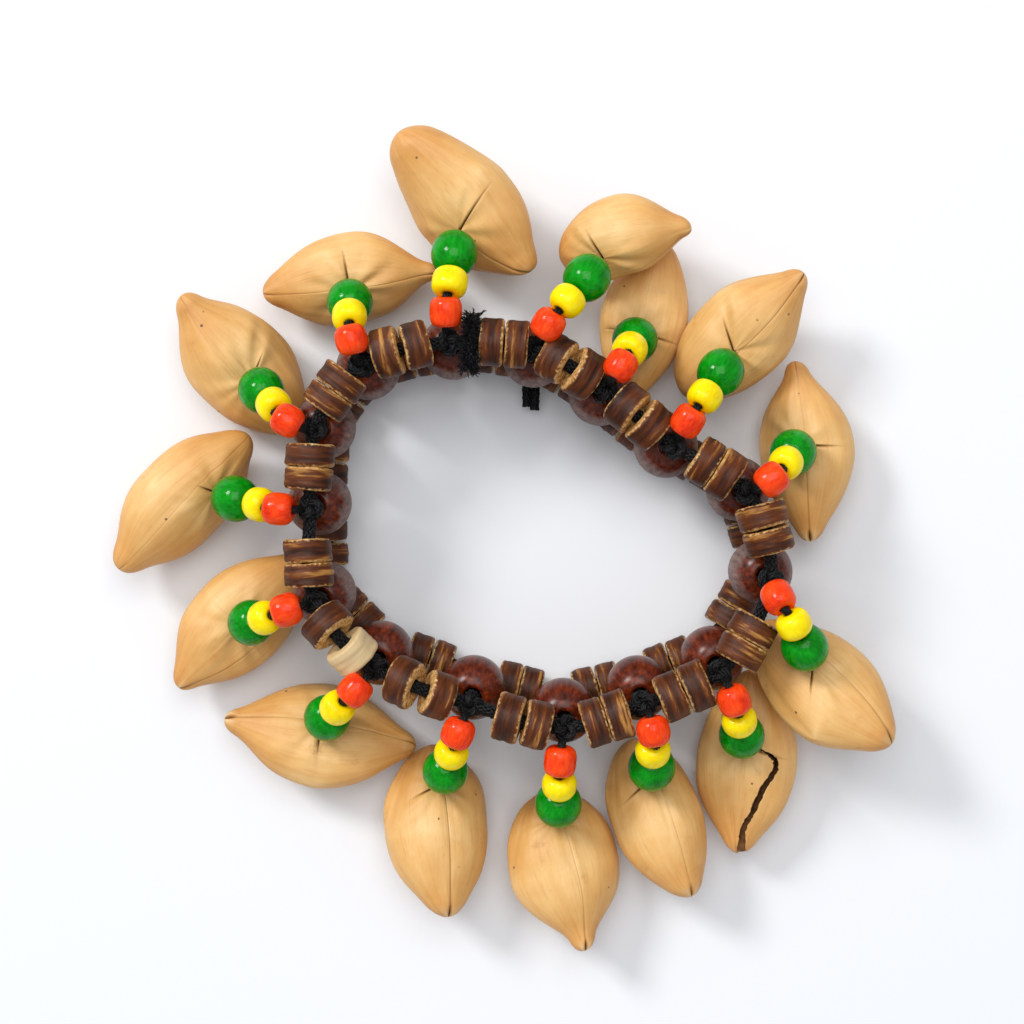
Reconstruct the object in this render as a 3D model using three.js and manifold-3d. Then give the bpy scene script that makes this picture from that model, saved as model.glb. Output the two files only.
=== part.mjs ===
// Seed pod shaker bracelet, in millimetres, +Z up, lying flat on z = 0 with the wrist opening round the origin.
// Two elastic cords carry pairs of shell discs. Rungs with round wooden beads join the two rows, and at each
// rung top hangs a strand with a red, a yellow and a green bead and a hollow seed pod.
import * as THREE from 'three';
import { mergeVertices } from 'three/addons/utils/BufferGeometryUtils.js';
import Module from 'manifold-3d';

const wasm = await Module();
wasm.setup();

// Clearance kept between pieces that touch on the real bracelet.
const clearance = 0.3;

// The ring of rung knots in plan: its width and its depth.
const ringWidth = 75.9;
const ringDepth = 63.6;

// The band: elastic cords, shell discs, round beads and the rung cords through them.
const elasticDiameter = 2.2;
const discDiameter = 8.4;
const discThickness = 3.6;
const discSides = 9;
const lowerPairGap = 0.4;
const roundBeadDiameter = 10.8;
const boreClearance = 0.5;
const rungCordDiameter = 2.2;
const knotDiameter = 3.8;
const lowerKnotDiameter = 3.2;
const shoulderSink = 0.45;
const knotDip = 0.7;

// How the band leans: the lower row lies this far inside the upper one, and a little off to one side.
const flareWidth = 1.6;
const flareDepth = 2.6;
const lowerRowShift = 1.8;

// The strands: thin cord, three beads and the stopper knot inside the pod.
const strandCordDiameter = 1.4;
const redBeadDiameter = 5.6;
const redBeadLength = 5.0;
const yellowBeadDiameter = 6.0;
const yellowBeadLength = 4.5;
const greenBeadDiameter = 8.0;
const beadGap = 0.3;
const leadCord = 0.9;
const beadSides = 6;
const stopperDiameter = 3.4;
const stopperDepth = 3.9;

// The pods: lens-shaped stones with two blunt tips, drilled in the side. A middling pod has these sizes.
const podLength = 30;
const podWidth = 18;
const podDepth = 14;
const podGap = 0.5;
const podWall = 1.2;
const podTipWall = 3.6;
const holeClearance = 0.5;
const podBow = 1.6;
const podTipRadius = 1.4;

// The crack that runs from the hole of the cracked pod to its tip.
const splitWidth = 1.5;
const splitLength = 17;

// The frayed end of the upper elastic and the two cut ends of the lower one.
const tuftDiameter = 2.0;
const tuftLength = 9.5;
const tuftFromKnot = 3.5;
const cutEndDiameter = 1.6;
const cutEndLength = 4.0;

// One entry per rung, counter-clockwise from the top. knot: its place in plan, in shares of the ring's width and
// depth. pair: how far along the upper row the next pair of discs sits, and the gap in that pair in shares of a
// disc's thickness. The cord leaves the knot on a heading with a rise, turns to a second heading and bends down
// over its beads with a fall and a drop, all in degrees. turn and tip: heading and upward tilt of the pod's long
// axis. hole: its place along that axis from the pod's middle, in shares of the pod's length. pod: length, width
// and depth, in shares of a middling pod's. ends: how full it stays towards its near end and its far tip, where 1
// is a straight taper. cracked: its shell has split open.
const dangles = [
  {
    knot: [-0.1752, 0.4748], pair: [0.52, 0.25], lead: 97, rise: 30, heading: 83, fall: 12, drop: 38,
    turn: 130, tip: 8, hole: -0.0938, pod: [1.07, 1.11, 0.973], ends: [3, 1.6],
  },
  {
    knot: [-0.3676, 0.4167], pair: [0.48, 0.083], lead: 110, rise: 42, heading: 97, fall: 36, drop: 64,
    turn: 187, tip: 0, hole: 0, pod: [1, 0.911, 0.935], ends: [2, 2.1],
  },
  {
    knot: [-0.4677, 0.2531], pair: [0.51, 0.083], lead: 166, rise: 38, heading: 134, fall: 42, drop: 55,
    turn: 132, tip: 14, hole: -0.1, pod: [1, 0.994, 0.98], ends: [2.4, 1.9],
  },
  {
    knot: [-0.4783, 0.0456], pair: [0.56, 0.11], lead: 182, rise: 25, heading: 168, fall: 46, drop: 44,
    turn: 227, tip: 0, hole: -0.16, pod: [1.06, 0.967, 1.01], ends: [2.2, 2.2],
  },
  {
    knot: [-0.4677, -0.2013], pair: [0.5, 0.47], lead: 193, rise: 34, heading: 200, fall: 36, drop: 62,
    turn: 225, tip: 0, hole: 0, pod: [1.03, 0.967, 0.85], ends: [2, 2.2],
  },
  {
    knot: [-0.3386, -0.3664], pair: [0.5, 0.83], lead: 230, rise: 30, heading: 225, fall: 32, drop: 62,
    turn: 172, tip: 0, hole: 0, pod: [1.1, 1.05, 0.863], ends: [1.7, 1.7],
  },
  {
    knot: [-0.1291, -0.4638], pair: [0.54, 0.25], lead: 245, rise: 26, heading: 252, fall: 42, drop: 55,
    turn: 275, tip: 12, hole: -0.25, pod: [0.98, 1.03, 1.0], ends: [2.4, 2],
  },
  {
    knot: [0.0751, -0.5252], pair: [0.52, 0.11], lead: 261, rise: 15, heading: 269, fall: 34, drop: 54,
    turn: 285, tip: 9, hole: -0.31, pod: [0.93, 1.1, 0.95], ends: [3, 1.7],
  },
  {
    knot: [0.2451, -0.4623], pair: [0.5, 0.22], lead: 289, rise: 36, heading: 272, fall: 46, drop: 59,
    turn: 289, tip: 12, hole: -0.22, pod: [0.95, 0.91, 0.98], ends: [2.6, 2],
  },
  {
    knot: [0.4124, -0.3789], pair: [0.39, 0.17], lead: 294, rise: 26, heading: 288, fall: 42, drop: 61,
    turn: 266, tip: 0, hole: -0.09, pod: [1.05, 0.97, 0.775], ends: [2, 2.2], cracked: true,
  },
  {
    knot: [0.5217, -0.1415], pair: [0.56, 0.11], lead: 285, rise: 60, heading: 300, fall: -6, drop: 45,
    turn: 318, tip: 14, hole: -0.1, pod: [1, 1.02, 0.93], ends: [2.2, 2],
  },
  {
    knot: [0.4717, 0.08491], pair: [0.48, 0.11], lead: 31, rise: 42, heading: 45, fall: 40, drop: 66,
    turn: 94, tip: 0, hole: 0.0323, pod: [1.03, 0.922, 0.869], ends: [2, 2],
  },
  {
    knot: [0.3109, 0.206], pair: [0.52, 0.14], lead: 62, rise: 36, heading: 55, fall: 9, drop: 39,
    turn: 44, tip: 14, hole: -0.09, pod: [0.967, 0.95, 0.95], ends: [2.4, 1.8],
  },
  {
    knot: [0.1607, 0.3522], pair: [0.5, 0.083], lead: 56, rise: 36, heading: 60, fall: 49, drop: 69,
    turn: 78, tip: -5, hole: -0.111, pod: [0.933, 0.9, 0.74], ends: [1.9, 1.9],
  },
  {
    knot: [0.007905, 0.456], pair: [0.37, 0.083], lead: 60, rise: 36, heading: 51, fall: 6, drop: 36,
    turn: 14, tip: 12, hole: -0.17, pod: [0.76, 0.8, 0.9], ends: [2.6, 1.7],
  },
];

const rungCount = dangles.length;
const up = new THREE.Vector3(0, 0, 1);
const radians = THREE.MathUtils.degToRad;

// Looks of the pieces.
const material = (color, roughness) => new THREE.MeshStandardMaterial({ color, roughness, metalness: 0 });
const shellMaterial = material('#7a4f2c', 0.6);
const roundBeadMaterial = material('#5a2d20', 0.45);
const strandMaterial = material('#0b8a26', 0.3);
const podMaterial = material('#d2a269', 0.5);
const cordMaterial = material('#141414', 0.85);

// A unit direction from a plan heading and an upward pitch, both in degrees.
function direction(heading, pitch) {
  const flat = Math.cos(radians(pitch));
  const x = Math.cos(radians(heading)) * flat;
  const y = Math.sin(radians(heading)) * flat;
  return new THREE.Vector3(x, y, Math.sin(radians(pitch)));
}

// A three.js geometry with shared vertices, as a closed solid for joining and cutting.
function solid(geometry) {
  const bare = geometry.index ? geometry.toNonIndexed() : geometry.clone();
  bare.deleteAttribute('normal');
  bare.deleteAttribute('uv');
  const merged = mergeVertices(bare, 1e-4);
  const triVerts = [];
  const index = merged.index.array;
  for (let i = 0; i < index.length; i += 3) {
    const [a, b, c] = [index[i], index[i + 1], index[i + 2]];
    if (a !== b && b !== c && c !== a) {
      triVerts.push(a, b, c);
    }
  }
  const vertProperties = new Float32Array(merged.attributes.position.array);
  return new wasm.Manifold(new wasm.Mesh({ numProp: 3, vertProperties, triVerts: new Uint32Array(triVerts) }));
}

// A joined or cut solid, as a named mesh.
function meshOf(body, name, look) {
  const { vertProperties, triVerts } = body.getMesh();
  const geometry = new THREE.BufferGeometry();
  geometry.setAttribute('position', new THREE.BufferAttribute(new Float32Array(vertProperties), 3));
  geometry.setIndex(new THREE.BufferAttribute(new Uint32Array(triVerts), 1));
  geometry.computeVertexNormals();
  const mesh = new THREE.Mesh(geometry, look);
  mesh.name = name;
  return mesh;
}

// One ring of a loft: a regular polygon round a point, square to the way ahead, with one flat side down.
function ring(at, way, radius) {
  const side = new THREE.Vector3().crossVectors(way, up).normalize();
  const top = new THREE.Vector3().crossVectors(side, way).normalize();
  return { at, side, top, radius };
}

// A loft through rings, closed by end caps or, as a loop, by joining its last ring to its first.
function loft(rings, sides, loop) {
  const position = [];
  for (const { at, side, top, radius } of rings) {
    for (let k = 0; k < sides; k += 1) {
      const angle = ((k + 0.5) * 2 * Math.PI) / sides - Math.PI / 2;
      const point = at.clone().addScaledVector(side, radius * Math.cos(angle));
      point.addScaledVector(top, radius * Math.sin(angle));
      position.push(...point.toArray());
    }
  }
  const index = [];
  const bands = loop ? rings.length : rings.length - 1;
  for (let i = 0; i < bands; i += 1) {
    const near = i * sides;
    const far = ((i + 1) % rings.length) * sides;
    for (let k = 0; k < sides; k += 1) {
      const next = (k + 1) % sides;
      index.push(near + k, far + k, near + next, far + k, far + next, near + next);
    }
  }
  const last = (rings.length - 1) * sides;
  for (let k = 1; !loop && k < sides - 1; k += 1) {
    index.push(0, k, k + 1, last, last + k + 1, last + k);
  }
  const geometry = new THREE.BufferGeometry();
  geometry.setAttribute('position', new THREE.Float32BufferAttribute(position, 3));
  geometry.setIndex(index);
  return geometry;
}

// A straight run of round cord between two points.
function cord(from, to, diameter, sides) {
  const way = to.clone().sub(from).normalize();
  return loft([ring(from, way, diameter / 2), ring(to, way, diameter / 2)], sides, false);
}

// Heights of the two rows, from the discs that rest on the table and the round beads between the rows.
const lowerHeight = (discDiameter / 2) * Math.cos(Math.PI / discSides);
const upperHeight = lowerHeight + roundBeadDiameter + discDiameter - shoulderSink;

// The plan of the upper row: a smooth loop through the knots.
const upperPlan = new THREE.CatmullRomCurve3(
  dangles.map(({ knot: [x, y] }) => new THREE.Vector3(x * ringWidth, y * ringDepth, 0)),
  true,
  'centripetal',
);

// A point of either row, counted in rungs from the first.
const planPoint = (rung) => upperPlan.getPoint(((rung + rungCount) % rungCount) / rungCount);
const upperPoint = (rung) => planPoint(rung).setZ(upperHeight);
const knotPoint = (rung) => planPoint(rung).setZ(upperHeight - knotDip);

function lowerPoint(rung) {
  const point = planPoint(rung);
  const { x, y } = point.clone().normalize();
  return point.add(new THREE.Vector3(-flareWidth * x, lowerRowShift - flareDepth * y, lowerHeight));
}

// The rings of one stretch of a row: the knot at its start, then two discs with cord before, between and after.
function stretchRings(knotAt, nextKnot, pairAt, pairGap, knotSize) {
  const along = nextKnot.clone().sub(knotAt).setZ(0).normalize();
  const pitch = (discThickness + pairGap) / 2;
  const cordRadius = elasticDiameter / 2;
  const discRadius = discDiameter / 2;
  const half = discThickness / 2;
  const knotHalf = knotSize / 4;
  const knotRadius = Math.sqrt(knotSize ** 2 / 4 - knotHalf ** 2);
  const placed = (centre, step, radius) => ring(centre.clone().addScaledVector(along, step), along, radius);
  return [
    placed(knotAt, -knotHalf, knotRadius),
    placed(knotAt, knotHalf, knotRadius),
    placed(pairAt, -pitch - half, cordRadius),
    placed(pairAt, -pitch - half, discRadius),
    placed(pairAt, -pitch + half, discRadius),
    placed(pairAt, 0, cordRadius),
    placed(pairAt, pitch - half, discRadius),
    placed(pairAt, pitch + half, discRadius),
    placed(pairAt, pitch + half, cordRadius),
  ];
}

// The cord of one rung, from its upper knot through the round bead to just above the lower knot.
function rungCord(rung) {
  const top = knotPoint(rung);
  const foot = lowerPoint(rung);
  const reach = top.distanceTo(foot) - lowerKnotDiameter / 2 - clearance;
  const end = top.clone().add(foot.clone().sub(top).setLength(reach));
  return solid(cord(top, end, rungCordDiameter, 5));
}

// One cut end of the lower elastic, standing inward from its knot.
function cutEnd(rung) {
  const from = lowerPoint(rung);
  const inward = from.clone().setZ(0).normalize().negate();
  const end = from.clone().addScaledVector(inward, discDiameter / 2 + cutEndLength);
  return solid(cord(from, end, cutEndDiameter, 5));
}

function upperRow() {
  const rings = dangles.flatMap(({ pair: [place, gap] }, rung) => (
    stretchRings(knotPoint(rung), knotPoint(rung + 1), upperPoint(rung + place), gap * discThickness, knotDiameter)
  ));
  let row = solid(loft(rings, discSides, true));
  for (let rung = 0; rung < rungCount; rung += 1) {
    row = row.add(rungCord(rung));
  }
  return row;
}

function lowerRow() {
  const rings = dangles.flatMap((_, rung) => (
    stretchRings(lowerPoint(rung), lowerPoint(rung + 1), lowerPoint(rung + 0.5), lowerPairGap, lowerKnotDiameter)
  ));
  return solid(loft(rings, discSides, true)).add(cutEnd(13.95)).add(cutEnd(14.1));
}

// The frayed end of the upper elastic, lying across the row beside the first knot.
function tuft() {
  const knot = knotPoint(0);
  const way = knotPoint(-1).sub(knot).setLength(tuftFromKnot);
  const at = knot.clone().add(way).addScaledVector(up, (elasticDiameter + tuftDiameter) / 2 + clearance + knotDip);
  const half = new THREE.Vector3().crossVectors(up, way).setLength(tuftLength / 2);
  return solid(cord(at.clone().sub(half), at.clone().add(half), tuftDiameter, 8));
}

// A round bead with its bore, on the rung between the two rows.
function roundBead(rung) {
  const top = knotPoint(rung);
  const foot = lowerPoint(rung);
  const radius = roundBeadDiameter / 2;
  const bore = rungCordDiameter / 2 + boreClearance;
  const rim = Math.acos(bore / radius);
  const rings = 5;
  const profile = [];
  for (let i = 0; i <= rings; i += 1) {
    const angle = rim * ((2 * i) / rings - 1);
    profile.push(new THREE.Vector2(radius * Math.cos(angle), radius * Math.sin(angle)));
  }
  profile.push(profile[0].clone());
  const bead = new THREE.LatheGeometry(profile, 8);
  const axis = top.clone().sub(foot).normalize();
  bead.applyQuaternion(new THREE.Quaternion().setFromUnitVectors(new THREE.Vector3(0, 1, 0), axis));
  const centre = top.clone().add(foot).multiplyScalar(0.5);
  return solid(bead.translate(centre.x, centre.y, centre.z));
}

// Length, width and depth of a rung's pod.
const podSize = (rung) => {
  const [length, width, depth] = dangles[rung].pod;
  return [length * podLength, width * podWidth, depth * podDepth];
};

// How full a pod of a width is at a place along its long axis, from 1 in the middle to its blunt tips.
function podSwell(along, [near, far], width) {
  const tipShare = (2 * podTipRadius) / width;
  return tipShare + (1 - tipShare) * (1 - Math.abs(along) ** (along < 0 ? near : far));
}

// Where the beads of a strand and its pod lie, worked out along the cord from the knot.
function layout(rung) {
  const { lead, rise, heading, fall, drop, turn, tip, hole: holeShare, ends } = dangles[rung];
  const [length, width, depth] = podSize(rung);
  const leadWay = direction(lead, rise);
  const midWay = direction(heading, -fall);
  const lastWay = direction(heading, -drop);
  const knot = knotPoint(rung);
  const red = knot.clone();
  red.addScaledVector(leadWay, knotDiameter / 2 + clearance + leadCord + redBeadLength / 2);
  const yellow = red.clone().addScaledVector(midWay, (redBeadLength + yellowBeadLength) / 2 + beadGap);
  const green = yellow.clone().addScaledVector(lastWay, (yellowBeadLength + greenBeadDiameter) / 2 + beadGap);
  const long = direction(turn, tip);
  const face = lastWay.clone().negate().addScaledVector(long, lastWay.dot(long)).normalize();
  const lean = -face.dot(lastWay);
  const hole = green.clone().addScaledVector(lastWay, (greenBeadDiameter / 2 + podGap) / lean);
  const along = 2 * holeShare;
  const height = (depth / 2) * podSwell(along, ends, width) + podBow * along ** 2;
  const centre = hole.clone().addScaledVector(face, -height).addScaledVector(long, -holeShare * length);
  return { leadWay, midWay, lastWay, knot, red, yellow, green, long, face, hole, centre };
}

// The rings of a barrel-shaped bead about its centre.
function barrelRings(at, axis, diameter, length) {
  const radius = diameter / 2;
  const half = length / 2;
  const profile = [[-half, 0.7 * radius], [-half / 2, radius], [half / 2, radius], [half, 0.7 * radius]];
  return profile.map(([step, size]) => ring(at.clone().addScaledVector(axis, step), axis, size));
}

// The rings of a ball-shaped bead about its centre.
function ballRings(at, axis, diameter) {
  const radius = diameter / 2;
  return [-64, -24, 24, 64].map((angle) => {
    const centre = at.clone().addScaledVector(axis, radius * Math.sin(radians(angle)));
    return ring(centre, axis, radius * Math.cos(radians(angle)));
  });
}

// A strand: the thin cord with its three beads and the stopper knot inside the pod. Each bead is lofted with the
// stretch of cord that leads to it, and the three are joined.
function strand(rung) {
  const { leadWay, midWay, lastWay, knot, red, yellow, green, hole } = layout(rung);
  const cordRadius = strandCordDiameter / 2;
  const redAxis = leadWay.clone().add(midWay).normalize();
  const yellowAxis = midWay.clone().add(lastWay).normalize();
  const cordRing = (at, way) => ring(at, way, cordRadius);
  const foot = knot.clone().addScaledVector(leadWay, knotDiameter / 2 + clearance);
  const stopper = hole.clone().addScaledVector(lastWay, stopperDepth);
  const redRun = [cordRing(foot, leadWay), ...barrelRings(red, redAxis, redBeadDiameter, redBeadLength)];
  const yellowRun = [cordRing(red, midWay), ...barrelRings(yellow, yellowAxis, yellowBeadDiameter, yellowBeadLength)];
  const greenRun = [
    cordRing(yellow, lastWay),
    ...ballRings(green, lastWay, greenBeadDiameter),
    cordRing(green.clone().addScaledVector(lastWay, greenBeadDiameter / 2), lastWay),
    cordRing(stopper.clone().addScaledVector(lastWay, -stopperDiameter / 2), lastWay),
    ring(stopper, lastWay, stopperDiameter / 2),
    cordRing(stopper.clone().addScaledVector(lastWay, stopperDiameter / 2), lastWay),
  ];
  const [first, second, third] = [redRun, yellowRun, greenRun].map((rings) => solid(loft(rings, beadSides, false)));
  return first.add(second).add(third);
}

// The lens of a pod about its own centre: long axis on Y, width on X, the drilled side on +Z. Both tips bow
// towards the drilled side.
function podLens(length, width, depth, ends, stations, segments) {
  const half = length / 2;
  const profile = [new THREE.Vector2(0, -half)];
  for (const station of stations) {
    profile.push(new THREE.Vector2(podSwell(station, ends, width), station * half));
  }
  profile.push(new THREE.Vector2(0, half));
  const geometry = new THREE.LatheGeometry(profile, segments);
  geometry.scale(width / 2, 1, depth / 2);
  const position = geometry.attributes.position;
  for (let i = 0; i < position.count; i += 1) {
    const along = position.getY(i) / half;
    position.setZ(i, position.getZ(i) + podBow * along ** 2);
  }
  return geometry;
}

// A hollow pod: the lens less its inside, with the cord's hole drilled through one wall.
function pod(rung) {
  const { lastWay, long, face, hole, centre } = layout(rung);
  const [length, width, depth] = podSize(rung);
  const { ends, cracked } = dangles[rung];
  const side = new THREE.Vector3().crossVectors(long, face);
  const place = new THREE.Matrix4().makeBasis(side, long, face).setPosition(centre);
  const outer = podLens(length, width, depth, ends, [-0.97, -0.82, -0.52, 0, 0.52, 0.82, 0.97], 9);
  const inside = [length - 2 * podTipWall, width - 2 * podWall, depth - 2 * podWall];
  const inner = podLens(...inside, ends, [-0.7, 0, 0.7], 6);
  const drillStart = hole.clone().addScaledVector(lastWay, -2 * podWall);
  const drillEnd = hole.clone().addScaledVector(lastWay, stopperDepth);
  const drill = cord(drillStart, drillEnd, strandCordDiameter + 2 * holeClearance, 6);
  const shell = solid(outer.applyMatrix4(place)).subtract(solid(inner.applyMatrix4(place))).subtract(solid(drill));
  if (!cracked) {
    return shell;
  }
  const crack = new THREE.BoxGeometry(splitWidth, splitLength, depth);
  crack.translate(-width / 7, splitLength / 2, depth / 2);
  return shell.subtract(solid(crack.applyMatrix4(place)));
}

const bracelet = new THREE.Group();
bracelet.name = 'seed_pod_shaker_bracelet';
bracelet.add(meshOf(upperRow(), 'upper_disc_row', shellMaterial));
bracelet.add(meshOf(lowerRow(), 'lower_disc_row', shellMaterial));
bracelet.add(meshOf(tuft(), 'elastic_tuft', cordMaterial));
for (let rung = 0; rung < rungCount; rung += 1) {
  const number = String(rung + 1).padStart(2, '0');
  bracelet.add(meshOf(roundBead(rung), `round_bead_${number}`, roundBeadMaterial));
  bracelet.add(meshOf(strand(rung), `bead_strand_${number}`, strandMaterial));
  bracelet.add(meshOf(pod(rung), `seed_pod_${number}`, podMaterial));
}

export default bracelet;
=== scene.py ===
# Seed pod shaker bracelet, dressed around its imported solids. Sizes are millimetres and degrees.
import math

import bmesh
import bpy
import numpy as np
from mathutils import Matrix, Vector, noise


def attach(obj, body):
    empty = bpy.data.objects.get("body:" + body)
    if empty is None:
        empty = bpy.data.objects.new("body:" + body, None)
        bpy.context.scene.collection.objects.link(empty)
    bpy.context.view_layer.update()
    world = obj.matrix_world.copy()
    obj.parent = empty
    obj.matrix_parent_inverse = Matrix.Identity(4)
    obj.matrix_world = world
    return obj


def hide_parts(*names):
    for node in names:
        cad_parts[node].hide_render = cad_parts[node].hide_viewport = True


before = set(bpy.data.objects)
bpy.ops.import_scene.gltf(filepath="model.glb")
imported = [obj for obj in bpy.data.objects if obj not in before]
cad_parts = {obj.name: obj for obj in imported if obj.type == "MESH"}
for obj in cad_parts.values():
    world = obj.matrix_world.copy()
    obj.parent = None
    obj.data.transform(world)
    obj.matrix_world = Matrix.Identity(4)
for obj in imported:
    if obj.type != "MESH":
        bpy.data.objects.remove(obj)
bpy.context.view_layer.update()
scene = bpy.context.scene
scene.view_settings.view_transform = "Standard"


# The studio. The bracelet lies on a white table and is seen from straight above through a long lens.
# A broad soft lamp stands at the upper left, a second one overhead fills in, and the room is white.
millimetre = 0.001
camera_place = (-3.06, 2.21, 420.0)


def put(name, data):
    """A new object in the scene."""
    made = bpy.data.objects.new(name, data)
    scene.collection.objects.link(made)
    return made


def new_mesh(name, points, edges=(), faces=()):
    """A new mesh from points in metres, with its edges or its faces."""
    mesh = bpy.data.meshes.new(name)
    mesh.from_pydata([tuple(p) for p in points], edges, faces)
    return mesh


camera_data = bpy.data.cameras.new("camera")
camera_data.lens = 84.8
camera_data.sensor_width = 36.0
camera_data.clip_start = 0.02
camera_data.clip_end = 20.0
camera = put("camera", camera_data)
camera.location = [place * millimetre for place in camera_place]
scene.camera = camera


def feed(socket, value):
    """Links a socket to another one or to a node's first output, or sets its value."""
    if isinstance(value, bpy.types.Node):
        value = value.outputs[0]
    if isinstance(value, bpy.types.NodeSocket):
        socket.id_data.links.new(value, socket)
    else:
        socket.default_value = value


def add_node(tree, kind, sockets=None, **settings):
    """A new node of a kind, with its settings and with what its sockets take."""
    made = tree.nodes.new(kind)
    for key, value in settings.items():
        setattr(made, key, value)
    for key, value in (sockets or {}).items():
        feed(made.inputs[key], value)
    return made


def calc(operation, first, second=0.0):
    """One step of arithmetic, in the node tree of its first value."""
    return add_node(first.id_data, "ShaderNodeMath", {0: first, 1: second}, operation=operation).outputs[0]


def times(first, second):
    """The product of two values."""
    return calc("MULTIPLY", first, second)


def plus(first, second):
    """The sum of two values."""
    return calc("ADD", first, second)


def paint(red, green, blue):
    """A colour given as it looks on a screen, from 0 to 255, as the shader wants it."""
    shares = (red / 255, green / 255, blue / 255)
    return tuple(s / 12.92 if s <= 0.04045 else ((s + 0.055) / 1.055) ** 2.4 for s in shares) + (1.0,)


def new_finish(name, roughness, specular=0.5):
    """A new material: the material, its tree and its shader."""
    material = bpy.data.materials.new(name)
    material.use_nodes = True
    tree = material.node_tree
    shader = tree.nodes["Principled BSDF"]
    shader.inputs["Roughness"].default_value = roughness
    shader.inputs["Specular IOR Level"].default_value = specular
    return material, tree, shader


def soft_lamp(name, place, width, power):
    """A square soft lamp that looks at the bracelet, with its place and width in metres."""
    data = bpy.data.lights.new(name, "AREA")
    data.size = width
    data.energy = power
    lamp = put(name, data)
    lamp.location = place
    lamp.rotation_euler = Vector(place).to_track_quat("Z", "Y").to_euler()


soft_lamp("window_lamp", (-1.35, 1.12, 1.5), 0.57, 29.0)
soft_lamp("overhead_lamp", (0.0, 0.30, 1.10), 0.80, 6.2)

room = bpy.data.worlds.new("white_room")
room.use_nodes = True
scene.world = room
room_tree = room.node_tree
for old in list(room_tree.nodes):
    room_tree.nodes.remove(old)
seen_wall = add_node(room_tree, "ShaderNodeBackground", {"Color": (1.0, 1.0, 1.0, 1.0)})
lit_wall = add_node(room_tree, "ShaderNodeBackground", {"Color": (0.88, 0.93, 1.0, 1.0), "Strength": 0.55})
ray = add_node(room_tree, "ShaderNodeLightPath")
wall_mix = add_node(room_tree, "ShaderNodeMixShader", {
    0: ray.outputs["Is Camera Ray"], 1: lit_wall, 2: seen_wall,
})
add_node(room_tree, "ShaderNodeOutputWorld", {"Surface": wall_mix})

table_finish, _, table_shader = new_finish("white_table", 0.55)
table_shader.inputs["Base Color"].default_value = (0.79, 0.795, 0.81, 1.0)
table_corners = [(-2, -2, 0), (2, -2, 0), (2, 2, 0), (-2, 2, 0)]
table_mesh = new_mesh("table", table_corners, faces=[(0, 1, 2, 3)])
table_mesh.materials.append(table_finish)
table = put("table", table_mesh)


# The elastics. Two black braided elastic cords, each tied into a loop, carry the band: the upper one
# through the knots at the rung tops and the upper discs, the lower one through the lower discs. The
# knots are places in the plan, in the order that the cord passes them.
rung_knots = [
    (-13.3, 30.2), (-27.9, 26.5), (-35.5, 16.1), (-36.3, 2.9), (-35.5, -12.8),
    (-25.7, -23.3), (-9.8, -29.5), (5.7, -33.4), (18.6, -29.4), (31.3, -24.1),
    (39.6, -9.0), (35.8, 5.4), (23.6, 13.1), (12.2, 22.4), (0.6, 29.0),
]
rung_count = len(rung_knots)
elastic_diameter = 2.2
elastic_lay, elastic_step = 11.0, 0.3
yarn_middle, yarn_wave, yarn_share, core_share = 0.36, 0.065, 0.118, 0.34
disc_diameter = 8.4
disc_sides = 9
round_bead_diameter = 10.8
shoulder_sink = 0.45
knot_dip = 0.7
flare_across, flare_along, lower_shift = 1.6, 2.6, 1.8
lower_height = disc_diameter / 2 * math.cos(math.pi / disc_sides)
upper_height = lower_height + round_bead_diameter + disc_diameter - shoulder_sink


def spline(p0, p1, p2, p3, share):
    """A point of a smooth line, at a share of the way from its point p1 to p2."""
    pairs = ((p0, p1), (p1, p2), (p2, p3))
    d0, d1, d2 = (max(1e-6, math.sqrt(np.linalg.norm(b - a))) for a, b in pairs)
    t1 = ((p1 - p0) / d0 - (p2 - p0) / (d0 + d1) + (p2 - p1) / d1) * d1
    t2 = ((p2 - p1) / d1 - (p3 - p1) / (d1 + d2) + (p3 - p2) / d2) * d1
    square = -3 * p1 + 3 * p2 - 2 * t1 - t2
    cube = 2 * p1 - 2 * p2 + t1 + t2
    return p1 + t1 * share + square * share ** 2 + cube * share ** 3


def plan_point(rung):
    """A point of the smooth loop through the rung knots, counted in rungs from the first."""
    rung = rung % rung_count
    first = int(rung)
    near = (np.array(rung_knots[(first + k) % rung_count]) for k in (-1, 0, 1, 2))
    return spline(*near, rung - first)


def upper_point(rung, dip=0.0):
    """A point of the upper row."""
    return np.array([*plan_point(rung), upper_height - dip])


def lower_point(rung):
    """A point of the lower row, which lies a little inside the upper one."""
    x, y = plan_point(rung)
    reach = math.hypot(x, y)
    return np.array([x - flare_across * x / reach, y + lower_shift - flare_along * y / reach, lower_height])


def smooth_route(points, step=0.5):
    """A smooth open line through points, as closely spaced points."""
    points = [np.array(p, float) for p in points]
    padded = [2 * points[0] - points[1], *points, 2 * points[-1] - points[-2]]
    route = []
    for near in zip(padded, padded[1:], padded[2:], padded[3:]):
        steps = max(2, math.ceil(np.linalg.norm(near[2] - near[1]) / step))
        route += [spline(*near, share) for share in np.arange(0, 1, 1 / steps)]
    return [*route, points[-1]]


def vector_calc(operation, first, second=None, scale=None):
    """One step of vector arithmetic."""
    made = add_node(first.id_data, "ShaderNodeVectorMath", {0: first}, operation=operation)
    if second is not None:
        feed(made.inputs[1], second)
    if scale is not None:
        feed(made.inputs["Scale"], scale)
    return made.outputs[0]


def named(tree, label, kind="FLOAT_VECTOR"):
    """A named attribute in a geometry tree."""
    return add_node(tree, "GeometryNodeInputNamedAttribute", {"Name": label}, data_type=kind)


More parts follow.
